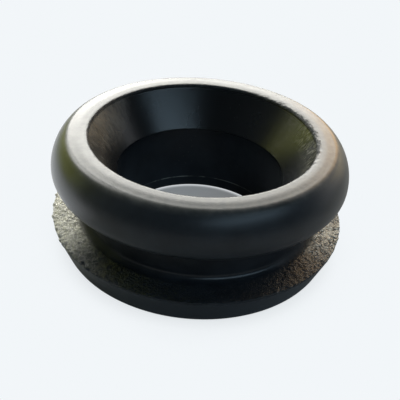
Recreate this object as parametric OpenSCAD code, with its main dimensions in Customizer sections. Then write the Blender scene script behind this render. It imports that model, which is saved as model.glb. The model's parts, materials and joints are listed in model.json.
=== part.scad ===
// Panel grommet, moulded in one piece of rubber and turned about Z.
// A tapered flange stands behind the panel, a groove takes the panel's edge, and a
// bulged head in front carries a flat rim and a countersunk mouth over a round bore.

/* [Bore and mouth] */
// Diameter of the bore
bore_d = 16.8; // [14:0.1:19]
// Diameter of the mouth at the flat rim
mouth_d = 22.3; // [20:0.1:24.5]
// Height of the cone between the mouth and the bore
cone_h = 3.5; // [1.5:0.1:4.5]
// Height of the straight land between the rim and the cone
land_h = 0.6; // [0.2:0.1:1.2]
// How far the bore widens at its foot, on each side
lead_in = 0.2; // [0.05:0.05:0.6]
// Height of the widened foot of the bore
lead_in_h = 1.3; // [0.3:0.1:1.8]

/* [Head] */
// Largest diameter of the head
head_d = 29.6; // [28.6:0.1:31]
// How far the crown's arc comes in from the widest point to the rim
crown_in = 1.6; // [0.8:0.1:2.2]
// Height of the head above the groove
head_h = 4.7; // [4.2:0.1:6]
// Radius of the head's lower edge
lip_r = 1.5; // [0.5:0.1:1.8]
// Radius that softens the rim's outer edge
rim_edge_r = 0.9; // [0.2:0.1:1.2]

/* [Groove] */
// Diameter of the panel hole that the neck fills
neck_d = 23.8; // [21.5:0.1:24.6]
// Thickness of the panel that the groove takes
groove_h = 3.9; // [1:0.1:6]
// Radius in the two inner corners of the groove
groove_r = 0.35; // [0.1:0.05:0.5]

/* [Flange] */
// Diameter of the flange at its upper face
flange_d = 30.2; // [28:0.1:36]
// Diameter of the flange at its foot
foot_d = 27.8; // [24:0.1:28]
// Thickness of the flange
flange_h = 3.2; // [2.4:0.1:5]
// Radius of the flange's upper edge
flange_edge_r = 0.2; // [0.1:0.05:0.8]
// Radius of the flange's lower edge
foot_edge_r = 0.5; // [0.1:0.05:1]

/* [Hidden] */
$fn = 120;
bore_r = bore_d / 2;
mouth_r = mouth_d / 2;
neck_r = neck_d / 2;
head_r = head_d / 2;
flange_r = flange_d / 2;
foot_r = foot_d / 2;
groove_top = flange_h + groove_h;
height = groove_top + head_h;
// The head is widest here, where the lip's arc hands over to the crown's
widest_z = groove_top + lip_r;
// The crown's arc leaves the widest point upright and reaches the rim's height crown_in
// further in
crown_rise = height - widest_z;
crown_r = (pow(crown_in, 2) + pow(crown_rise, 2)) / (2 * crown_in);
crown_x = head_r - crown_r;
// The flange's side leans outwards from the foot by this angle from the horizontal
side_lean = atan2(flange_h, flange_r - foot_r);
// The groove's fillets, which its height and its upper wall limit
least_fillet = 0.05;
fillet_r = max(least_fillet, min(groove_r, groove_h / 2, head_r - lip_r - neck_r));
// Cuts pass this far beyond a face so that they leave no skin
clear = 1;

// Area between a corner at p and the arc of radius r that rounds it. The corner's two
// edges leave p at the angles a and b. It is cut from an outer corner or fills an inner one.
module corner_fill(p, a, b, r) {
    half = (b - a) / 2;
    run = r / tan(half);
    centre = p + r / sin(half) * [cos(a + half), sin(a + half)];
    difference() {
        polygon([p, p + run * [cos(a), sin(a)], centre, p + run * [cos(b), sin(b)]]);
        translate(centre) circle(r);
    }
}

// Tapered flange, from its foot to the groove
module flange_section() {
    difference() {
        polygon([[0, 0], [foot_r, 0], [flange_r, flange_h], [0, flange_h]]);
        corner_fill([foot_r, 0], side_lean, 180, foot_edge_r);
        corner_fill([flange_r, flange_h], 180, 180 + side_lean, flange_edge_r);
    }
}

// Neck that fills the panel hole, with a fillet at each end
module neck_section() {
    translate([0, flange_h]) square([neck_r, groove_h]);
    corner_fill([neck_r, flange_h], 0, 90, fillet_r);
    corner_fill([neck_r, groove_top], -90, 0, fillet_r);
}

// Lower edge of the head: a quarter round from the groove's upper wall to the widest point
module lip_section() {
    translate([0, groove_top]) square([head_r - lip_r, lip_r]);
    intersection() {
        translate([head_r - lip_r, widest_z]) circle(lip_r);
        translate([head_r - lip_r, groove_top]) square([lip_r, lip_r]);
    }
}

// Crown of the head: one arc from the widest point up to the flat rim
module crown_section() {
    edge_z = height - rim_edge_r;
    edge_x = crown_x + sqrt(pow(crown_r - rim_edge_r, 2) - pow(edge_z - widest_z, 2));
    away = [edge_x - crown_x, edge_z - widest_z] / (crown_r - rim_edge_r);
    difference() {
        intersection() {
            union() {
                translate([crown_x, widest_z]) circle(crown_r);
                translate([0, widest_z]) square([crown_x, crown_rise]);
            }
            translate([0, widest_z]) square([head_r + clear, crown_rise]);
        }
        // Softened outer edge, tangent to the flat rim and to the crown's arc
        difference() {
            polygon([
                [edge_x, edge_z],
                [edge_x, height + clear],
                [head_r + clear, height + clear],
                [edge_x, edge_z] + (rim_edge_r + clear) * away
            ]);
            translate([edge_x, edge_z]) circle(rim_edge_r);
        }
    }
}

// Way through the grommet: countersunk mouth, round bore and a slightly wider foot
module passage_section() {
    cone_top = height - land_h;
    cone_foot = cone_top - cone_h;
    translate([0, -clear]) square([bore_r, height + 2 * clear]);
    polygon([[0, cone_foot], [bore_r, cone_foot], [mouth_r, cone_top], [0, cone_top]]);
    translate([0, cone_top]) square([mouth_r, land_h + clear]);
    polygon([[0, 0], [bore_r + lead_in, 0], [bore_r, lead_in_h], [0, lead_in_h]]);
}

// Half section of the whole grommet, with the axis at x = 0
module half_section() {
    difference() {
        union() {
            flange_section();
            neck_section();
            lip_section();
            crown_section();
        }
        passage_section();
    }
}

// The grommet, standing on the foot of its flange
module grommet() {
    color("#23262a") rotate_extrude() half_section();
}

grommet();
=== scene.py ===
"""Looks of a moulded rubber panel grommet, laid out as an add-on and run as a script.

The body is one closed mesh, turned by Geometry Nodes from a half section. Its flange
face is pebbled and cracked, its mouth edge is torn, and the rest is smooth black rubber.
"""

import json
import math
from collections import namedtuple

import bpy
from mathutils import Matrix, Vector


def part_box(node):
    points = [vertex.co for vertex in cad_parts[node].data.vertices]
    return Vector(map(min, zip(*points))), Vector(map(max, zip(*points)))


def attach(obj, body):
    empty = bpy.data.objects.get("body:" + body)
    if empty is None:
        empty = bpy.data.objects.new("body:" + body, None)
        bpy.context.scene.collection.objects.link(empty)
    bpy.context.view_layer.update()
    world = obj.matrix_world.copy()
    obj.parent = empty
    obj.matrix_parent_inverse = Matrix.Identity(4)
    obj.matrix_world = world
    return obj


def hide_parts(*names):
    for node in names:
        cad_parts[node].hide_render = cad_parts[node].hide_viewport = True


bl_info = {
    "name": "Moulded Panel Grommet",
    "version": (1, 0, 0),
    "blender": (4, 5, 0),
    "location": "View3D > Sidebar > Grommet",
    "description": "Builds a rubber panel grommet with a pebbled flange, and a stage for it",
    "category": "Object",
}

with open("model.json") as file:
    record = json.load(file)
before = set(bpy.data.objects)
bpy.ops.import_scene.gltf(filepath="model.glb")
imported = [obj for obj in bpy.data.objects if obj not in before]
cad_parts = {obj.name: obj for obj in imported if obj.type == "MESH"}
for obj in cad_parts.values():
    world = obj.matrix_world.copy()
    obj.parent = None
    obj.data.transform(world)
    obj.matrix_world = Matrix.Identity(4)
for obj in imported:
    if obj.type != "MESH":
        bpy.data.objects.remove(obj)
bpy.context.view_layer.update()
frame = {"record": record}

NODE = "grommet"
BODY = "root"
MM = 0.001
BOX_LOW, BOX_HIGH = (Vector(corner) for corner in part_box(NODE))
BORE_RADIUS = next(
    mount["dims"]["r_mm"] * MM for mount in frame["record"]["mounts"] if mount["name"] == "bore"
)

# Weights that each stretch of the outline gives to the three skins of the moulding
SKINS = ("pebbled", "torn", "turned")
PLAIN = (0.0, 0.0, 0.0)
PEBBLED = (1.0, 0.0, 0.0)
TORN = (0.0, 1.0, 0.0)
TURNED = (0.0, 0.0, 1.0)

# The mouth's edge is torn on this side of the body
TORN_SIDE = Vector((0.86, 0.17, 0.48))

# Painted highlights streak the cone on this side of the body
PAINTED_GLINT_SIDE = Vector((0.87, -0.06, 0.49))

# The rough face is calmer on this side of the body, and its bloom is left out there, which paints the
# shade under the head
CALM_SIDE = Vector((0.06, -0.99, 0.1))

# Point that the lamps and cards face, and their distance from it
LAMP_AIM = Vector((0.0, 0.0, 8 * MM))
LAMP_REACH = 0.23

# A corner of the half section: its place, the radius, faces and skin of its round, then the
# spacing of the points and the skin along the straight stretch that follows
Corner = namedtuple("Corner", "place radius faces skin spacing next_skin")


class GrommetSizes(bpy.types.PropertyGroup):
    """Sizes of the half section and of the rubber's relief"""

    height: bpy.props.FloatProperty(
        name="Height", description="From the foot to the flat rim", unit="LENGTH",
        default=BOX_HIGH.z - BOX_LOW.z,
    )
    bore_radius: bpy.props.FloatProperty(
        name="Bore radius", description="Radius of the straight bore", unit="LENGTH",
        default=BORE_RADIUS,
    )
    lead_in: bpy.props.FloatProperty(
        name="Lead-in", description="How far the bore widens at its foot", unit="LENGTH",
        default=0.2 * MM,
    )
    lead_in_height: bpy.props.FloatProperty(
        name="Lead-in height", description="Height of the widened foot of the bore",
        unit="LENGTH", default=1.3 * MM,
    )
    mouth_radius: bpy.props.FloatProperty(
        name="Mouth radius", description="Radius of the mouth at the flat rim", unit="LENGTH",
        default=11.15 * MM,
    )
    mouth_edge: bpy.props.FloatProperty(
        name="Mouth edge", description="Radius worn on the mouth's edge", unit="LENGTH",
        default=0.22 * MM,
    )
    land_height: bpy.props.FloatProperty(
        name="Land height", description="Straight land between the rim and the cone",
        unit="LENGTH", default=0.35 * MM,
    )
    cone_height: bpy.props.FloatProperty(
        name="Cone height", description="Height of the cone above the bore", unit="LENGTH",
        default=3.75 * MM,
    )
    head_radius: bpy.props.FloatProperty(
        name="Head radius", description="Radius of the head where it is widest",
        unit="LENGTH", default=14.8 * MM,
    )
    head_height: bpy.props.FloatProperty(
        name="Head height", description="Height of the head above the groove",
        unit="LENGTH", default=4.7 * MM,
    )
    crown_in: bpy.props.FloatProperty(
        name="Crown inset", description="How far the crown comes in up to the rim",
        unit="LENGTH", default=1.6 * MM,
    )
    lip_round: bpy.props.FloatProperty(
        name="Lip round", description="Radius of the head's lower edge", unit="LENGTH",
        default=1.5 * MM,
    )
    rim_edge: bpy.props.FloatProperty(
        name="Rim edge", description="Radius that softens the rim's outer edge",
        unit="LENGTH", default=0.9 * MM,
    )
    rim_swell: bpy.props.FloatProperty(
        name="Rim swell", description="How far the middle of the rim stands proud of its edges",
        unit="LENGTH", default=0.028 * MM,
    )
    neck_radius: bpy.props.FloatProperty(
        name="Neck radius", description="Radius of the neck in the panel's hole",
        unit="LENGTH", default=11.9 * MM,
    )
    groove_round: bpy.props.FloatProperty(
        name="Groove round", description="Radius in the groove's inner corners",
        unit="LENGTH", default=0.62 * MM,
    )
    flange_radius: bpy.props.FloatProperty(
        name="Flange radius", description="Radius of the flange's sharp upper corner",
        unit="LENGTH", default=15.1 * MM,
    )
    flange_height: bpy.props.FloatProperty(
        name="Flange height", description="Thickness of the flange", unit="LENGTH",
        default=3.2 * MM,
    )
    flange_edge: bpy.props.FloatProperty(
        name="Flange edge", description="Radius of the flange's upper edge", unit="LENGTH",
        default=0.12 * MM,
    )
    foot_radius: bpy.props.FloatProperty(
        name="Foot radius", description="Radius of the flange's sharp lower corner",
        unit="LENGTH", default=13.9 * MM,
    )
    foot_edge: bpy.props.FloatProperty(
        name="Foot edge", description="Radius of the flange's lower edge", unit="LENGTH",
        default=0.5 * MM,
    )
    around: bpy.props.IntProperty(
        name="Around", description="Faces in one turn of the body", default=630,
    )
    pebble_size: bpy.props.FloatProperty(
        name="Pebble size", description="Width of one pebble of the rough face",
        unit="LENGTH", default=0.5 * MM,
    )
    pebble_depth: bpy.props.FloatProperty(
        name="Pebble depth", description="Height of the rough face's relief",
        unit="LENGTH", default=0.11 * MM,
    )
    tear_depth: bpy.props.FloatProperty(
        name="Tear depth", description="Depth of the nicks in the mouth's edge",
        unit="LENGTH", default=0.08 * MM,
    )
    sway: bpy.props.FloatProperty(
        name="Sway", description="How far the soft rubber strays from a true circle",
        unit="LENGTH", default=0.05 * MM,
    )


class RubberFinish(bpy.types.PropertyGroup):
    """Colours and gloss of the rubber"""

    black: bpy.props.FloatVectorProperty(
        name="Black", description="Colour of the clean rubber", subtype="COLOR", size=3,
        default=(0.020, 0.024, 0.030),
    )
    # The bloom colour also paints light: light on the flange's lit left, a highlight at the bore's
    # foot, and reflection and highlights on the cone
    bloom: bpy.props.FloatVectorProperty(
        name="Bloom", description="Colour of the bloom on the rough face, of wear and of chalk",
        subtype="COLOR", size=3, default=(0.70, 0.69, 0.60),
    )
    dust: bpy.props.FloatVectorProperty(
        name="Dust", description="Colour of the dust specks", subtype="COLOR", size=3,
        default=(0.32, 0.31, 0.28),
    )
    smooth: bpy.props.FloatProperty(
        name="Smooth skin", description="Roughness of the smooth skin", subtype="FACTOR",
        default=0.36, min=0.0, max=1.0,
    )
    sleek: bpy.props.FloatProperty(
        name="Sheltered skin", description="Roughness of the cone, and nearly of the groove's corner",
        subtype="FACTOR", default=0.24, min=0.0, max=1.0,
    )
    coarse: bpy.props.FloatProperty(
        name="Coarse skin", description="Roughness of the pebbled skin", subtype="FACTOR",
        default=0.36, min=0.0, max=1.0,
    )


class StageSettings(bpy.types.PropertyGroup):
    """Camera, floor and lamps"""

    pale: bpy.props.FloatVectorProperty(
        name="Pale ground", description="Colour of the floor and of the air behind it",
        subtype="COLOR", size=3, default=(0.888, 0.922, 0.947),
    )
    distance: bpy.props.FloatProperty(
        name="Camera distance", description="From the camera to the point it looks at",
        unit="LENGTH", default=68.14 * MM,
    )
    elevation: bpy.props.FloatProperty(
        name="Camera elevation", description="Angle of the view above the floor",
        unit="ROTATION", default=math.radians(34.58),
    )
    roll: bpy.props.FloatProperty(
        name="Camera roll", description="Tilt of the camera about its line of sight",
        unit="ROTATION", default=math.radians(4.41),
    )
    aim_right: bpy.props.FloatProperty(
        name="Aim right", description="Point looked at, to the right of the origin",
        unit="LENGTH", default=0.225 * MM,
    )
    aim_up: bpy.props.FloatProperty(
        name="Aim up", description="Point looked at, above the origin in the picture",
        unit="LENGTH", default=3.044 * MM,
    )
    lens: bpy.props.FloatProperty(
        name="Lens", description="Focal length on a 36 mm sensor, in millimetres",
        default=56.26,
    )
    window_glow: bpy.props.FloatProperty(
        name="Window glow", description="Radiance of the wide soft lamp behind", default=9.6,
    )
    sky_glow: bpy.props.FloatProperty(
        name="Sky glow", description="Radiance of the bluish lamp above the front",
        default=3.2,
    )
    side_glow: bpy.props.FloatProperty(
        name="Side glow", description="Strength of the tinted cards at the two sides",
        default=1.2,
    )
    air: bpy.props.FloatProperty(
        name="Air", description="Share of the pale ground that lights matt surfaces",
        default=0.15,
    )


def piece_settings():
    """The property groups of this scene."""
    scene = bpy.context.scene
    return scene.grommet_sizes, scene.grommet_finish, scene.grommet_stage


class TreeBuilder:
    """Adds nodes to a node tree and links them, so that a tree reads as a list of steps."""

    def __init__(self, tree):
        self.tree = tree

    def feed(self, socket, value):
        """Links or sets one input socket."""
        if isinstance(value, bpy.types.NodeSocket):
            self.tree.links.new(value, socket)
        else:
            socket.default_value = value

    def node(self, kind, *inputs, **settings):
        """A node with its settings, and its inputs in order, each a socket or a value."""
        made = self.tree.nodes.new(kind)
        for name, value in settings.items():
            setattr(made, name, value)
        for socket, value in zip([s for s in made.inputs if s.enabled], inputs):
            self.feed(socket, value)
        return made

    def named(self, kind, inputs, **settings):
        """A node with its settings, and its inputs by their names."""
        made = self.node(kind, **settings)
        for name, value in inputs.items():
            self.feed(made.inputs[name], value)
        return made

    def math(self, operation, *inputs, clamp=False):
        """The result of one sum on plain numbers."""
        made = self.node("ShaderNodeMath", *inputs, operation=operation, use_clamp=clamp)
        return made.outputs[0]

    def product(self, first, *others):
        """All the numbers multiplied."""
        result = first
        for other in others:
            result = self.math("MULTIPLY", result, other)
        return result

    def total(self, first, *others):
        """All the numbers added."""
        result = first
        for other in others:
            result = self.math("ADD", result, other)
        return result

    def vector_math(self, operation, *inputs):
        """The result of one sum on vectors."""
        made = self.node("ShaderNodeVectorMath", *inputs, operation=operation)
        return made.outputs["Value" if operation in ("LENGTH", "DOT_PRODUCT") else "Vector"]

    def split(self, vector):
        """The X, Y and Z of a vector."""
        made = self.node("ShaderNodeSeparateXYZ", vector)
        return made.outputs["X"], made.outputs["Y"], made.outputs["Z"]

    def joined(self, x, y, z):
        """A vector of three numbers."""
        return self.node("ShaderNodeCombineXYZ", x, y, z).outputs[0]

    def scaled(self, vector, factor):
        """A vector multiplied by one plain number."""
        return self.vector_math("MULTIPLY", vector, (factor,) * 3)

    def toward(self, place, side):
        """How much a place lies on one side of the body, from -1 to 1."""
        return self.vector_math("DOT_PRODUCT", self.vector_math("NORMALIZE", place), side)

    def ramp(self, value, low, high, bottom=0.0, top=1.0):
        """A smooth step from bottom to top as value goes from low to high."""
        made = self.named("ShaderNodeMapRange", {
            "Value": value, "From Min": low, "From Max": high, "To Min": bottom, "To Max": top,
        }, interpolation_type="SMOOTHSTEP")
        return made.outputs["Result"]

    def mix(self, kind, factor, first, second, blend="MIX"):
        """A mix of two numbers or colours."""
        made = self.named("ShaderNodeMix", {
            "Factor": factor, "A": first, "B": second,
        }, data_type=kind, blend_type=blend)
        return made.outputs["Result"]

    def noise(self, place, scale, detail=2.0, roughness=0.5):
        """The value of a noise texture at a place, from 0 to 1."""
        made = self.named("ShaderNodeTexNoise", {
            "Vector": place, "Scale": scale, "Detail": detail, "Roughness": roughness,
        })
        return made.outputs[0]

    def strayed(self, place, scale, reach):
        """A place pushed about by noise, so that cells looked up there are bent."""
        made = self.named("ShaderNodeTexNoise", {"Vector": place, "Scale": scale})
        return self.vector_math("ADD", place, self.scaled(made.outputs["Color"], reach))

    def cells(self, place, scale, feature="F1"):
        """A Voronoi texture's distance at a place."""
        made = self.named("ShaderNodeTexVoronoi", {"Vector": place, "Scale": scale}, feature=feature)
        return made.outputs["Distance"]

    def stored(self, geometry, name, value):
        """The geometry with a number stored on each of its points."""
        made = self.named("GeometryNodeStoreNamedAttribute", {
            "Geometry": geometry, "Name": name, "Value": value,
        }, data_type="FLOAT", domain="POINT")
        return made.outputs["Geometry"]

    def weight(self, name):
        """The number stored under a name on each point of the geometry."""
        made = self.node("GeometryNodeInputNamedAttribute", name, data_type="FLOAT")
        return made.outputs["Attribute"]


def straight(start, end, spacing):
    """Points along a straight stretch, without its two ends."""
    count = max(1, round((end - start).length / spacing))
    return [start.lerp(end, step / count) for step in range(1, count)]


def arc(centre, radius, first, last, count):
    """Points on an arc from one angle to another, both ends included."""
    angles = [first + (last - first) * step / count for step in range(count + 1)]
    return [centre + radius * Vector((math.cos(a), math.sin(a))) for a in angles]


def rounded(before, corner, after, radius, count):
    """Points on the arc that rounds a corner between two straight stretches."""
    back = (before - corner).normalized()
    on = (after - corner).normalized()
    half = back.angle(on) / 2
    centre = corner + (back + on).normalized() * radius / math.sin(half)
    first = corner + back * radius / math.tan(half) - centre
    last = corner + on * radius / math.tan(half) - centre
    start = math.atan2(first.y, first.x)
    turn = math.atan2(first.x * last.y - first.y * last.x, first.dot(last))
    return arc(centre, radius, start, start + turn, count)


def head_top(sizes):
    """Points from the head's widest place over its crown and its rim to the mouth's edge."""
    crown_faces = 16
    edge_faces = 7
    rim_spacing = 0.16 * MM
    widest = sizes.height - sizes.head_height + sizes.lip_round
    rise = sizes.height - widest
    crown_radius = (sizes.crown_in ** 2 + rise ** 2) / (2 * sizes.crown_in)
    crown = Vector((sizes.head_radius - crown_radius, widest))
    edge_height = sizes.height - sizes.rim_edge
    reach = crown_radius - sizes.rim_edge
    edge = Vector((crown.x + math.sqrt(reach ** 2 - (edge_height - widest) ** 2), edge_height))
    hand_over = math.atan2(edge.y - crown.y, edge.x - crown.x)
    points = arc(crown, crown_radius, 0.0, hand_over, crown_faces)[1:]
    points += arc(edge, sizes.rim_edge, hand_over, math.pi / 2, edge_faces)[1:]
    rim_end = Vector((sizes.mouth_radius + sizes.mouth_edge, sizes.height))
    for p in straight(points[-1], rim_end, rim_spacing):
        share = (p.x - rim_end.x) / (edge.x - rim_end.x)
        swell = sizes.rim_swell * (1 - math.cos(math.tau * share)) / 2
        points.append(p + Vector((0.0, swell)))
    return points


def half_section(sizes):
    """Closed outline of the body at the right of its axis, as (point, skin weights) pairs."""
    crease = 0.05 * MM
    groove_top = sizes.height - sizes.head_height
    cone_top = sizes.height - sizes.land_height
    cone_foot = cone_top - sizes.cone_height

    # The corner without a spacing is the lip's: the top of the head follows it
    corners = [
        Corner((sizes.bore_radius + sizes.lead_in, 0.0), crease, 2, PLAIN, 0.8 * MM, PLAIN),
        Corner((sizes.foot_radius, 0.0), sizes.foot_edge, 5, PLAIN, 0.22 * MM, PLAIN),
        Corner((sizes.flange_radius, sizes.flange_height), sizes.flange_edge, 4, PEBBLED,
               0.115 * MM, PEBBLED),
        Corner((sizes.neck_radius, sizes.flange_height), sizes.groove_round, 5, PLAIN,
               0.6 * MM, PLAIN),
        Corner((sizes.neck_radius, groove_top), sizes.groove_round, 4, PLAIN, 0.5 * MM, PLAIN),
        Corner((sizes.head_radius, groove_top), sizes.lip_round, 10, PLAIN, None, PLAIN),
        Corner((sizes.mouth_radius, sizes.height), sizes.mouth_edge, 3, TORN, 0.13 * MM, TORN),
        Corner((sizes.mouth_radius, cone_top), crease, 2, TURNED, 0.28 * MM, TURNED),
        Corner((sizes.bore_radius, cone_foot), crease, 2, TURNED, 0.7 * MM, PLAIN),
        Corner((sizes.bore_radius, sizes.lead_in_height), crease, 2, PLAIN, 0.4 * MM, PLAIN),
    ]
    outline = []
    for index, corner in enumerate(corners):
        previous = corners[index - 1]
        place = Vector(corner.place)
        before = Vector(previous.place)
        after = Vector(corners[(index + 1) % len(corners)].place)
        if corner.spacing is None:
            after = place + Vector((0.0, sizes.lip_round))
        if previous.spacing is None:
            before = place + Vector((sizes.rim_edge, 0.0))
        turned = rounded(before, place, after, corner.radius, corner.faces)
        if corner.radius == crease:
            # A point just beyond each end keeps the shading of the crease narrow
            ahead = turned[0] + (before - turned[0]).normalized() * crease
            beyond = turned[-1] + (after - turned[-1]).normalized() * crease
            turned = [ahead, *turned, beyond]
        if outline and previous.spacing is not None:
            stretch = straight(outline[-1][0], turned[0], previous.spacing)
            outline += [(p, previous.next_skin) for p in stretch]
        outline += [(p, corner.skin) for p in turned]
        if corner.spacing is None:
            outline += [(p, corner.next_skin) for p in head_top(sizes)]
    stretch = straight(outline[-1][0], outline[0][0], corners[-1].spacing)
    outline += [(p, corners[-1].next_skin) for p in stretch]
    return outline


def outline_mesh(outline):
    """A closed line of the outline's points in the XZ plane, with a weight for each skin."""
    mesh = bpy.data.meshes.new("half_section")
    count = len(outline)
    edges = [(i, (i + 1) % count) for i in range(count)]
    mesh.from_pydata([(p.x, 0.0, p.y) for p, _ in outline], edges, [])
    for number, name in enumerate(SKINS):
        layer = mesh.attributes.new(name, "FLOAT", "POINT")
        layer.data.foreach_set("value", [weights[number] for _, weights in outline])
    return mesh


def turned_grid(b, given):
    """The outline turned about Z: one closed mesh that keeps the weight of each skin."""
    points = given["Outline Points"]
    # A grid with one column for each point of the outline and one row for each angle
    grid = b.node(
        "GeometryNodeMeshGrid", 1.0, 1.0, b.math("ADD", points, 1), b.math("ADD", given["Around"], 1)
    )
    position = b.node("GeometryNodeInputPosition").outputs[0]
    along, aside, _ = b.split(position)
    column = b.math("ROUND", b.product(b.math("ADD", along, 0.5), points))
    point = b.math("FLOORED_MODULO", column, points)
    angle = b.product(b.math("ADD", aside, 0.5), math.tau)

    def sampled(kind, value):
        """A value of the outline at this column's point."""
        made = b.named("GeometryNodeSampleIndex", {
            "Geometry": given["Geometry"], "Value": value, "Index": point,
        }, data_type=kind)
        return made.outputs["Value"]

    radius, _, height = b.split(sampled("FLOAT_VECTOR", position))
    x = b.product(radius, b.math("COSINE", angle))
    y = b.product(radius, b.math("SINE", angle))
    geometry = grid.outputs["Mesh"]
    for name in SKINS:
        geometry = b.stored(geometry, name, sampled("FLOAT", b.weight(name)))
    turned = b.named("GeometryNodeSetPosition", {
        "Geometry": geometry, "Position": b.joined(x, y, height),
    })
    # Where the grid's opposite edges meet, their points become one
    meeting = 0.001 * MM
    merged = b.named("GeometryNodeMergeByDistance", {
        "Geometry": turned.outputs[0], "Distance": meeting,
    })
    # Turned this way, the grid's faces look into the rubber, so they are flipped to look out
    return b.node("GeometryNodeFlipFaces", merged.outputs[0]).outputs[0]


def skin_relief(b, given):
    """How far the surface moves out at each point: pebbles, tears and a slight waviness."""
    here = b.node("GeometryNodeInputPosition").outputs[0]
    across, _, up = b.split(here)

    # Noise is looked up in millimetres, shifted by the seed
    in_mm = b.vector_math("ADD", b.scaled(here, 1 / MM), given["Seed"])

    # The pebbles stand out more on the left. The last number is about the mean of the rest,
    # so that they rise and sink about the plain face.
    per_pebble = b.math("DIVIDE", MM, given["Pebble Size"])
    dome = b.ramp(b.cells(b.strayed(in_mm, 1.1, 0.9), per_pebble), 0.1, 0.75, 1.0, 0.0)
    domed = b.ramp(across, -10 * MM, 2 * MM, 0.95, 0.4)
    lump = b.noise(in_mm, b.product(per_pebble, 1.3), 3.0, 0.6)
    swell = b.noise(in_mm, 0.55, 1.0)
    pebbles = b.total(b.product(dome, domed), b.product(lump, 1.4), b.math("ADD", swell, -1.7))

    # They are lower on the calm side, and deeper at the flange's edge to break its outline
    lowered = b.ramp(b.toward(here, CALM_SIDE), 0.70, 0.93, 1.0, 0.45)
    from_axis = b.vector_math("LENGTH", b.vector_math("MULTIPLY", here, (1.0, 1.0, 0.0)))
    inward = b.math("SUBTRACT", given["Edge Radius"], from_axis)
    rough = b.product(lowered, b.ramp(inward, 0.2 * MM, 0.6 * MM, 1.9, 1.0))
    depth = b.product(given["Pebble Depth"], rough)
    pebbled = b.product(pebbles, depth, b.weight("pebbled"))

    # The mouth's edge is nicked, mostly on its torn side
    nick = b.ramp(b.noise(in_mm, 2.4, 3.0, 0.7), 0.40, 0.62)
    where = b.ramp(b.toward(here, TORN_SIDE), 0.60, 0.90, 0.1, 1.0)
    depth = b.product(given["Tear Depth"], b.product(nick, -1.0))
    torn = b.product(depth, where, b.weight("torn"))

    # The body strays and is faintly dented, but its foot stays flat, so that it stands on it
    dent_depth = 0.014 * MM
    sway = b.product(b.math("SUBTRACT", 0.5, b.noise(in_mm, 0.09, 1.0)), given["Sway"])
    dent = b.product(b.math("SUBTRACT", 0.5, b.noise(in_mm, 0.35, 1.0)), dent_depth)
    soft = b.product(b.total(sway, dent), b.ramp(up, 0.02 * MM, 0.6 * MM))
    return b.total(pebbled, torn, soft)


def turned_body_tree():
    """Geometry Nodes: turns a closed half section about Z and gives the rubber its relief."""
    tree = bpy.data.node_groups.new("Turned rubber body", "GeometryNodeTree")
    for name, kind in (
        ("Geometry", "Geometry"), ("Outline Points", "Int"), ("Around", "Int"),
        ("Pebble Size", "Float"), ("Pebble Depth", "Float"), ("Edge Radius", "Float"),
        ("Tear Depth", "Float"), ("Sway", "Float"), ("Seed", "Float"), ("Material", "Material"),
    ):
        tree.interface.new_socket(name, in_out="INPUT", socket_type="NodeSocket" + kind)
    tree.interface.new_socket("Geometry", in_out="OUTPUT", socket_type="NodeSocketGeometry")
    b = TreeBuilder(tree)
    given = b.node("NodeGroupInput").outputs
    geometry = turned_grid(b, given)

    # Each skin's weight fades over a few faces, so that no relief ends in a step
    for name, rounds in zip(SKINS, (3, 2, 1)):
        blur = b.node("GeometryNodeBlurAttribute", b.weight(name), rounds)
        geometry = b.stored(geometry, name, blur.outputs[0])
    normal = b.node("GeometryNodeInputNormal").outputs[0]
    moved = b.named("GeometryNodeSetPosition", {
        "Geometry": geometry, "Offset": b.vector_math("SCALE", normal, skin_relief(b, given)),
    })
    smooth = b.node("GeometryNodeSetShadeSmooth", moved.outputs[0])
    real = b.node("GeometryNodeRealizeInstances", smooth.outputs[0])
    coated = b.named("GeometryNodeSetMaterial", {
        "Geometry": real.outputs[0], "Material": given["Material"],
    })
    b.node("NodeGroupOutput", coated.outputs[0])
    return tree


def set_inputs(modifier, values):
    """Sets a modifier's inputs by their sockets' names."""
    for item in modifier.node_group.interface.items_tree:
        if item.item_type == "SOCKET" and item.in_out == "INPUT" and item.name in values:
            modifier[item.identifier] = values[item.name]


def settled(name, carrier):
    """A plain mesh object made from an object's evaluated modifiers, which are then removed."""
    graph = bpy.context.evaluated_depsgraph_get()
    mesh = bpy.data.meshes.new_from_object(carrier.evaluated_get(graph))
    mesh.name = name
    bpy.data.objects.remove(carrier)
    piece = bpy.data.objects.new(name, mesh)
    bpy.context.collection.objects.link(piece)
    return piece


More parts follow.
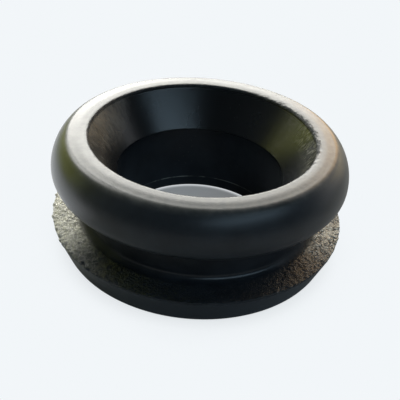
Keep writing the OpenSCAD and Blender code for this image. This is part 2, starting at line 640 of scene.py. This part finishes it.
class RubberSkin:
    """The parts of the rubber's shader, which share the places and noises set up first.

    Places and heights are in millimetres. The marks on the skin come first: each gives a share
    from 0 to 1, and adds what stands up or sinks in there to the relief. The colour, the
    roughness and the normal are then made from them.
    """

    def __init__(self, tree, finish, sizes):
        self.b = b = TreeBuilder(tree)
        self.finish = finish
        self.sizes = sizes
        self.top = sizes.height / MM
        self.land_foot = self.top - sizes.land_height / MM
        self.mouth = sizes.mouth_radius / MM
        self.here = b.node("ShaderNodeTexCoord").outputs["Object"]
        self.in_mm = b.scaled(self.here, 1 / MM)
        self.across, back, self.up = b.split(self.in_mm)
        self.flat = b.joined(self.across, back, 0.0)
        self.radius = b.vector_math("LENGTH", self.flat)
        self.torn_side = b.toward(self.here, TORN_SIDE)
        self.calm = b.toward(self.here, CALM_SIDE)
        self.pebbled = self.weight("pebbled")
        self.turned = self.weight("turned")
        self.blotch = b.noise(self.in_mm, 0.35, 3.0, 0.6)
        self.grain = b.noise(self.in_mm, 9.0, 3.0, 0.6)
        self.heights = []

    def weight(self, name):
        """The weight of one skin, kept on the mesh."""
        return self.b.node("ShaderNodeAttribute", attribute_name=name).outputs["Fac"]

    def raise_skin(self, height, *shares):
        """Adds to the relief a height, times each of the shares."""
        self.heights.append(self.b.product(*shares, height))

    def from_left(self, left, right):
        """A number that changes from the flange's left to its right."""
        return self.b.ramp(self.across, -9.0, 6.0, left, right)

    def bloom_and_painted_light(self):
        """Bloom on the pebbled face, with painted light and shade: more on its tops and on the lit
        left, less in its hollows, none in its cracks, and none on the calm front, which is painted
        shade.
        """
        b = self.b
        pit = b.noise(self.in_mm, 4.2, 4.0, 0.7)
        # The pits' hollows get less bloom, and less still on the right: painted shade in the hollows,
        # painted light on the lit left
        tops = b.ramp(pit, 0.38, 0.62, self.from_left(0.62, 0.38), 1.0)
        edges = b.cells(b.strayed(self.in_mm, 1.6, 0.8), 1.7, "DISTANCE_TO_EDGE")
        crack = b.ramp(edges, 0.02, 0.12, 1.0, 0.0)
        opened = b.ramp(b.noise(self.in_mm, 1.1, 2.0), 0.46, 0.62)
        open_crack = b.product(crack, self.from_left(0.12, 1.0), opened)
        sound = b.math("SUBTRACT", 1.0, open_crack, clamp=True)
        # No bloom on the calm front: painted shade where the head shades the flange
        bloom_with_painted_shade = b.product(self.pebbled, b.ramp(self.calm, 0.38, 0.70, 1.0, 0.0))
        self.raise_skin(self.from_left(0.18, 0.10), pit, self.pebbled)
        self.raise_skin(-0.16, open_crack, bloom_with_painted_shade)
        return b.product(bloom_with_painted_shade, b.product(tops, sound))

    def ragged(self, rim):
        """The torn edge of the mouth: a dull band, wide on its torn side and thin elsewhere."""
        b = self.b
        wide = b.ramp(self.torn_side, 0.86, 0.945, 0.3, 1.6)
        reach = b.product(b.math("SUBTRACT", b.noise(self.in_mm, 2.6, 4.0, 0.7), 0.36), wide)
        past = b.math("SUBTRACT", b.math("SUBTRACT", self.radius, self.mouth + 0.05), reach)
        crumbs = b.ramp(b.noise(self.in_mm, 5.5, 2.0, 0.6), 0.40, 0.56, 1.0, 0.35)
        band = b.product(rim, b.ramp(past, 0.0, 0.12, 1.0, 0.0), crumbs)
        self.raise_skin(0.06, self.grain, band)
        return band

    def worn(self, rim, ragged):
        """Faint mottled wear on the rim, and a thin broken painted highlight where the bore widens."""
        b = self.b
        mottle = b.ramp(b.noise(self.in_mm, 1.1, 3.0, 0.6), 0.3, 0.7)
        rim_wear = b.product(rim, b.total(b.product(mottle, 0.05), 0.03))
        lead_in = self.sizes.lead_in_height / MM
        bore = self.sizes.bore_radius / MM
        off_edge = b.math("ABSOLUTE", b.math("SUBTRACT", self.up, lead_in))
        near_bore = b.ramp(self.radius, bore + 0.2, bore + 0.5, 1.0, 0.0)
        # The broken pale line at the top of the bore's lead-in is a painted highlight on that edge
        line = b.product(b.ramp(off_edge, 0.03, 0.09, 1.0, 0.0), near_bore)
        broken = b.ramp(b.noise(self.in_mm, 0.4, 4.0, 0.7), 0.42, 0.62, 0.03, 0.4)
        clean = b.math("SUBTRACT", 1.0, ragged)
        return b.math("MAXIMUM", b.product(rim_wear, clean), b.product(line, broken))

    def smears_and_painted_glints(self):
        """Pale marks on the cone: smears down its left, partly chalk and partly a painted reflection,
        and fine streaks near the torn edge, which are painted highlights.
        """
        b = self.b
        cone_foot = self.land_foot - self.sizes.cone_height / MM
        slant = b.total(self.up, b.product(b.noise(self.in_mm, 0.5, 2.0), 0.25))
        bearing = b.scaled(b.vector_math("NORMALIZE", self.flat), 14.0)
        down_cone = b.vector_math("ADD", bearing, b.joined(0.0, 0.0, b.product(slant, 0.6)))

        # The smears are thickest near the mouth
        scrapes = b.noise(down_cone, 1.0, 5.0, 0.75)
        scraped = b.product(self.turned, b.ramp(self.across, -9.8, -7.8, 1.0, 0.0))
        high_up = b.ramp(self.up, cone_foot + 0.6, cone_foot + 2.4, 0.2, 1.0)
        # The smears are partly chalk and partly a painted reflection of warm light on the cone's left
        smears = b.product(b.ramp(scrapes, 0.40, 0.64, 0.02, 0.13), high_up)

        # The pale streaks near the land on this side are painted highlights
        glinting = b.product(self.turned, b.ramp(b.toward(self.here, PAINTED_GLINT_SIDE), 0.88, 0.95))
        near_land = b.ramp(self.up, self.land_foot - 2.2, self.land_foot - 0.2)
        streaks = b.product(b.ramp(b.noise(down_cone, 3.2, 3.0, 0.6), 0.46, 0.66, 0.0, 0.2), near_land)

        # Rings of the lathe go round the cone, and show most on the torn side
        rings = b.noise(b.joined(0.0, 0.0, slant), 7.0, 4.0, 0.8)
        ringed = b.product(self.turned, b.ramp(self.torn_side, 0.45, 0.85, 0.15, 1.0))
        self.raise_skin(0.018, rings, ringed)
        self.raise_skin(0.10, scrapes, scraped)
        return b.math("MAXIMUM", b.product(scraped, smears), b.product(glinting, streaks))

    def dusty(self):
        """Dust: a small speck in some cells of a raster, in a few places, mostly in the mouth."""
        b = self.b
        lint = b.ramp(b.cells(self.in_mm, 2.3), 0.05, 0.09, 1.0, 0.0)
        some = b.ramp(b.noise(self.in_mm, 0.22, 1.0), 0.54, 0.68)
        inside = b.ramp(self.radius, self.mouth + 0.15, self.mouth + 0.65, 1.0, 0.1)
        return b.product(lint, some, b.product(inside, 0.6))

    def colour(self, pale, dusty):
        """Blotched black, paler where the pale marks lie (bloom, wear and chalk, with painted light,
        shade, reflection and highlights among them), with the dust on top.
        """
        b = self.b
        # The turned skin of the cone is blacker than the rest
        blacker = (*(0.4 * part for part in self.finish.black), 1.0)
        black = b.mix("RGBA", self.turned, (*self.finish.black, 1.0), blacker)
        tint = b.mix("RGBA", pale, black, (*self.finish.bloom, 1.0))
        lightness = b.ramp(self.blotch, 0.3, 0.7, 0.8, 1.25)
        grey = b.node("ShaderNodeCombineColor", lightness, lightness, lightness).outputs[0]
        shade = b.mix("RGBA", 1.0, tint, grey, blend="MULTIPLY")
        return b.mix("RGBA", dusty, shade, (*self.finish.dust, 1.0))

    def groove_corner(self):
        """The fillet of the groove's lower corner."""
        b = self.b
        half = self.sizes.groove_round / MM / 2
        off_corner = b.math("SUBTRACT", self.up, self.sizes.flange_height / MM + half)
        off_neck = b.math("SUBTRACT", self.radius, self.sizes.neck_radius / MM + half)
        return b.product(
            b.ramp(b.math("ABSOLUTE", off_corner), half, half + 0.2, 1.0, 0.0),
            b.ramp(b.math("ABSOLUTE", off_neck), half, half + 0.2, 1.0, 0.0),
        )

    def roughness(self, ragged, dusty):
        """Roughness: it varies with the blotches, and is higher on the torn edge."""
        b = self.b
        level = b.total(b.product(self.blotch, 0.08), self.finish.smooth - 0.04)
        coarse = b.math("MAXIMUM", self.pebbled, b.product(dusty, 0.8))
        open_skin = b.mix("FLOAT", coarse, b.total(level, b.product(ragged, 0.6)), self.finish.coarse)

        # The cone and the front of the groove's lower corner are sheltered and have kept their
        # gloss; the rest of that corner is dirty and dull
        corner = self.groove_corner()
        polished = b.product(corner, b.ramp(self.calm, 0.68, 0.9))
        sheltered = b.math("MAXIMUM", self.turned, polished)
        dirty = b.math("SUBTRACT", corner, polished)
        dull = b.total(open_skin, b.product(dirty, 0.4))
        glossy = b.total(self.finish.sleek, b.product(polished, 0.045))
        return b.mix("FLOAT", sheltered, dull, glossy)

    def normal(self):
        """The relief of all parts as a bump, over a fine grain that is deeper on the cone."""
        b = self.b
        fine = b.noise(self.in_mm, 26.0, 2.0, 0.6)
        self.raise_skin(b.total(b.product(self.turned, 0.004), 0.002), self.grain)
        self.raise_skin(b.total(b.product(self.turned, 0.003), 0.0012), fine)
        bump = b.named("ShaderNodeBump", {
            "Height": b.total(*self.heights), "Distance": 1.0 * MM, "Strength": 1.0,
        })
        return bump.outputs["Normal"]


def moulded_rubber(finish, sizes):
    """Black rubber: smooth skin, pebbled flange face with bloom and painted light and shade, turned
    cone with chalk and painted reflection and highlights, worn edges with a painted highlight at the
    bore's foot, dust.
    """
    material = bpy.data.materials.new("moulded_rubber")
    material.use_nodes = True
    skin = RubberSkin(material.node_tree, finish, sizes)
    b = skin.b
    rim = b.ramp(skin.up, skin.top - 0.5, skin.top - 0.05)
    ragged = skin.ragged(rim)
    dusty = skin.dusty()
    # Pale marks: wear with a painted highlight at the bore's foot, chalk with a painted reflection and
    # painted highlights on the cone, and bloom with painted light and shade on the flange
    marks = b.math("MAXIMUM", skin.worn(rim, ragged), skin.smears_and_painted_glints())
    pale = b.math("ADD", skin.bloom_and_painted_light(), marks, clamp=True)
    shader = material.node_tree.nodes["Principled BSDF"]
    shader.inputs["IOR"].default_value = 1.45
    b.feed(shader.inputs["Base Color"], skin.colour(pale, dusty))
    b.feed(shader.inputs["Roughness"], skin.roughness(ragged, dusty))
    b.feed(shader.inputs["Normal"], skin.normal())
    return material


def pale_ground(stage):
    """Floor that shows the pale ground to the camera and still takes a soft shadow."""
    material = bpy.data.materials.new("pale_ground")
    material.use_nodes = True
    tree = material.node_tree
    tree.nodes.clear()
    b = TreeBuilder(tree)
    # What the floor throws back at the grommet is dimmer than what the camera sees of it
    matt = b.node("ShaderNodeBsdfDiffuse", (*(0.6 * part for part in stage.pale), 1.0))
    own = b.node("ShaderNodeEmission", (*stage.pale, 1.0), 1.0)
    path = b.node("ShaderNodeLightPath")
    seen = b.math("MAXIMUM", path.outputs["Is Camera Ray"], path.outputs["Is Transmission Ray"])
    mirrored = b.product(path.outputs["Is Glossy Ray"], 0.04)
    # The grommet's shadow is faint beside its foot and deep on the floor inside its bore
    shadow_reach = 12 * MM
    open_air = b.named("ShaderNodeAmbientOcclusion", {"Distance": shadow_reach}, samples=8)
    lit = b.ramp(open_air.outputs["AO"], 0.2, 0.7, 0.8, 1.0)
    here = b.node("ShaderNodeTexCoord").outputs["Object"]
    from_axis = b.vector_math("LENGTH", here)
    outside = b.ramp(from_axis, 0.95 * BORE_RADIUS, 1.05 * BORE_RADIUS, 0.22, 1.0)
    shown = b.product(b.math("MAXIMUM", seen, mirrored), b.product(lit, outside))
    # A bright part of the floor on the left, which the head mirrors and the camera doesn't see
    patch_centre = (-0.044, 0.012, 0.0)
    patch_core = 26 * MM
    patch_end = 36 * MM
    from_patch = b.vector_math("LENGTH", b.vector_math("SUBTRACT", here, patch_centre))
    patch = b.ramp(from_patch, patch_core, patch_end, 1.0, 0.0)
    unseen = b.product(patch, b.math("SUBTRACT", 1.0, seen))
    b.feed(own.inputs["Strength"], b.math("ADD", 1.0, b.product(unseen, 0.7)))
    share = b.math("MAXIMUM", shown, unseen)
    mix = b.node("ShaderNodeMixShader", share, matt.outputs[0], own.outputs[0])
    b.node("ShaderNodeOutputMaterial", mix.outputs[0])
    return material


def dark_cloth():
    """Dull dark cloth of the canopy."""
    material = bpy.data.materials.new("dark_cloth")
    material.use_nodes = True
    shader = material.node_tree.nodes["Principled BSDF"]
    shader.inputs["Base Color"].default_value = (0.08, 0.095, 0.11, 1.0)
    shader.inputs["Roughness"].default_value = 1.0
    return material


def pale_air(stage):
    """World that looks as pale as the floor, and lights matt surfaces less than it shows."""
    world = bpy.data.worlds.new("pale_air")
    world.use_nodes = True
    tree = world.node_tree
    tree.nodes.clear()
    b = TreeBuilder(tree)
    path = b.node("ShaderNodeLightPath")
    seen = b.math(
        "MAXIMUM",
        path.outputs["Is Camera Ray"],
        b.math("MAXIMUM", path.outputs["Is Glossy Ray"], path.outputs["Is Transmission Ray"]),
    )
    glow = b.node("ShaderNodeBackground", (*stage.pale, 1.0), b.mix("FLOAT", seen, stage.air, 1.0))
    b.node("ShaderNodeOutputWorld", glow.outputs[0])
    bpy.context.scene.world = world


def flat_sheet(name, width, depth, order):
    """A rectangle about the origin. The order of its corners sets the side that its face shows."""
    mesh = bpy.data.meshes.new(name)
    right = width / 2
    up = depth / 2
    corners = [(-right, -up, 0), (right, -up, 0), (right, up, 0), (-right, up, 0)]
    mesh.from_pydata(corners, [], [order])
    return bpy.data.objects.new(name, mesh)


def set_round(item, bearing, rise):
    """Places a lamp or card at a bearing and a rise in degrees, facing the grommet."""
    level = math.cos(math.radians(rise))
    toward = Vector((
        level * math.cos(math.radians(bearing)),
        level * math.sin(math.radians(bearing)),
        math.sin(math.radians(rise)),
    ))
    item.location = LAMP_AIM + LAMP_REACH * toward
    item.rotation_euler = (-toward).to_track_quat("-Z", "Y").to_euler()
    bpy.context.collection.objects.link(item)


def soft_lamp(name, bearing, rise, width, depth, glow, colour):
    """A rectangular lamp of a given radiance."""
    light = bpy.data.lights.new(name, "AREA")
    light.shape = "RECTANGLE"
    light.size = width
    light.size_y = depth
    light.energy = glow * math.pi * width * depth
    light.color = colour
    set_round(bpy.data.objects.new(name, light), bearing, rise)


def tinted_card(name, bearing, rise, width, depth, glow, colour):
    """A glowing tinted card beside the grommet, for its smooth skin to mirror."""
    material = bpy.data.materials.new(name)
    material.use_nodes = True
    tree = material.node_tree
    tree.nodes.clear()
    b = TreeBuilder(tree)
    own = b.node("ShaderNodeEmission", (*colour, 1.0), glow)
    b.node("ShaderNodeOutputMaterial", own.outputs[0])
    card = flat_sheet(name, width, depth, (3, 2, 1, 0))
    card.data.materials.append(material)
    card.visible_camera = False
    set_round(card, bearing, rise)


class GROMMET_OT_moulded_body(bpy.types.Operator):
    """Make the grommet's moulded rubber body"""

    bl_idname = "grommet.moulded_body"
    bl_label = "Moulded body"

    def execute(self, context):
        sizes, finish, _ = piece_settings()
        outline = half_section(sizes)
        carrier = bpy.data.objects.new("half_section", outline_mesh(outline))
        context.collection.objects.link(carrier)
        modifier = carrier.modifiers.new("Turned rubber body", "NODES")
        modifier.node_group = turned_body_tree()
        set_inputs(modifier, {
            "Outline Points": len(outline),
            "Around": sizes.around,
            "Pebble Size": sizes.pebble_size,
            "Pebble Depth": sizes.pebble_depth,
            "Edge Radius": sizes.flange_radius,
            "Tear Depth": sizes.tear_depth,
            "Sway": sizes.sway,
            "Seed": 40.0,
            "Material": moulded_rubber(finish, sizes),
        })
        piece = settled("moulded_body", carrier)
        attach(piece, BODY)
        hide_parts(NODE)
        return {"FINISHED"}


class GROMMET_OT_stage(bpy.types.Operator):
    """Set up the pale floor, the lamps and the camera"""

    bl_idname = "grommet.stage"
    bl_label = "Floor, lamps and camera"

    def execute(self, context):
        _, _, stage = piece_settings()
        self.lay_floor(context, stage)
        pale_air(stage)
        self.hang_canopy(context)
        # Bearing and rise in degrees, then width and depth in metres, strength and colour
        daylight = (1.0, 0.985, 0.92)
        soft_lamp("window", 93, 23, 0.18, 0.09, stage.window_glow, daylight)
        soft_lamp("window_left", 108, 20, 0.07, 0.05, stage.window_glow, daylight)
        soft_lamp("window_high", 136, 40, 0.09, 0.08, 1.1 * stage.window_glow, daylight)
        soft_lamp("sky", 311, 40, 0.21, 0.045, stage.sky_glow, (0.56, 0.80, 1.0))
        tinted_card("leaf_card", 150, 11, 0.22, 0.13, stage.side_glow, (0.70, 0.75, 0.10))
        tinted_card("wood_card", 44, 7, 0.10, 0.07, 1.7 * stage.side_glow, (1.0, 0.86, 0.60))
        tinted_card("amber_card", 65, 19, 0.068, 0.08, 6.3 * stage.side_glow, (1.0, 0.66, 0.34))
        self.place_camera(context, stage)
        view = context.scene.view_settings
        view.view_transform = "Standard"
        return {"FINISHED"}

    def lay_floor(self, context, stage):
        """A wide floor at the height of the grommet's foot."""
        width = 1.8
        floor = flat_sheet("floor", width, width, (0, 1, 2, 3))
        floor.data.materials.append(pale_ground(stage))
        context.collection.objects.link(floor)

    def hang_canopy(self, context):
        """A dark shell over the front and top that keeps black rubber from going grey."""
        reach = 0.32
        columns = 24
        rows = 12
        # Degrees of rise from the floor in front, up and over the top
        lowest = 4
        furthest = 118
        points = []
        for row in range(rows + 1):
            rise = math.radians(lowest + (furthest - lowest) * row / rows)
            for column in range(columns + 1):
                side = math.radians(-90 + 180 * column / columns)
                points.append((
                    reach * math.sin(side),
                    -reach * math.cos(side) * math.cos(rise),
                    reach * math.cos(side) * math.sin(rise),
                ))
        faces = [
            (r * (columns + 1) + c, r * (columns + 1) + c + 1,
             (r + 1) * (columns + 1) + c + 1, (r + 1) * (columns + 1) + c)
            for r in range(rows) for c in range(columns)
        ]
        mesh = bpy.data.meshes.new("canopy")
        mesh.from_pydata(points, [], faces)
        canopy = bpy.data.objects.new("canopy", mesh)
        canopy.visible_camera = False
        canopy.data.materials.append(dark_cloth())
        context.collection.objects.link(canopy)

    def place_camera(self, context, stage):
        """The camera at the angle, distance and roll of the view from above the front."""
        data = bpy.data.cameras.new("camera")
        data.sensor_width = 36.0
        data.lens = stage.lens
        data.clip_start = 1.0 * MM
        right = Vector((1.0, 0.0, 0.0))
        sight = Vector((0.0, math.cos(stage.elevation), -math.sin(stage.elevation)))
        up = Vector((0.0, math.sin(stage.elevation), math.cos(stage.elevation)))
        eye = stage.aim_right * right + stage.aim_up * up - stage.distance * sight
        turn = Matrix.Rotation(stage.roll, 3, sight)
        # Turning about the line of sight lowers the right side of the picture
        right = turn.transposed() @ right
        up = turn.transposed() @ up
        camera = bpy.data.objects.new("camera", data)
        camera.matrix_world = Matrix((
            (right.x, up.x, -sight.x, eye.x),
            (right.y, up.y, -sight.y, eye.y),
            (right.z, up.z, -sight.z, eye.z),
            (0.0, 0.0, 0.0, 1.0),
        ))
        context.collection.objects.link(camera)
        context.scene.camera = camera


class GROMMET_PT_panel(bpy.types.Panel):
    """Lists the grommet's pieces and settings"""

    bl_idname = "GROMMET_PT_panel"
    bl_label = "Grommet"
    bl_space_type = "VIEW_3D"
    bl_region_type = "UI"
    bl_category = "Grommet"

    def draw(self, context):
        layout = self.layout
        for settings in piece_settings():
            column = layout.column(align=True)
            for name in settings.bl_rna.properties.keys():
                if name not in ("rna_type", "name"):
                    column.prop(settings, name)
        layout.operator(GROMMET_OT_moulded_body.bl_idname)
        layout.operator(GROMMET_OT_stage.bl_idname)


CLASSES = (
    GrommetSizes,
    RubberFinish,
    StageSettings,
    GROMMET_OT_moulded_body,
    GROMMET_OT_stage,
    GROMMET_PT_panel,
)


def register():
    for item in CLASSES:
        bpy.utils.register_class(item)
    bpy.types.Scene.grommet_sizes = bpy.props.PointerProperty(type=GrommetSizes)
    bpy.types.Scene.grommet_finish = bpy.props.PointerProperty(type=RubberFinish)
    bpy.types.Scene.grommet_stage = bpy.props.PointerProperty(type=StageSettings)


def unregister():
    del bpy.types.Scene.grommet_stage
    del bpy.types.Scene.grommet_finish
    del bpy.types.Scene.grommet_sizes
    for item in reversed(CLASSES):
        bpy.utils.unregister_class(item)


def main():
    register()
    bpy.ops.grommet.stage()
    bpy.ops.grommet.moulded_body()


if __name__ == "__main__":
    main()
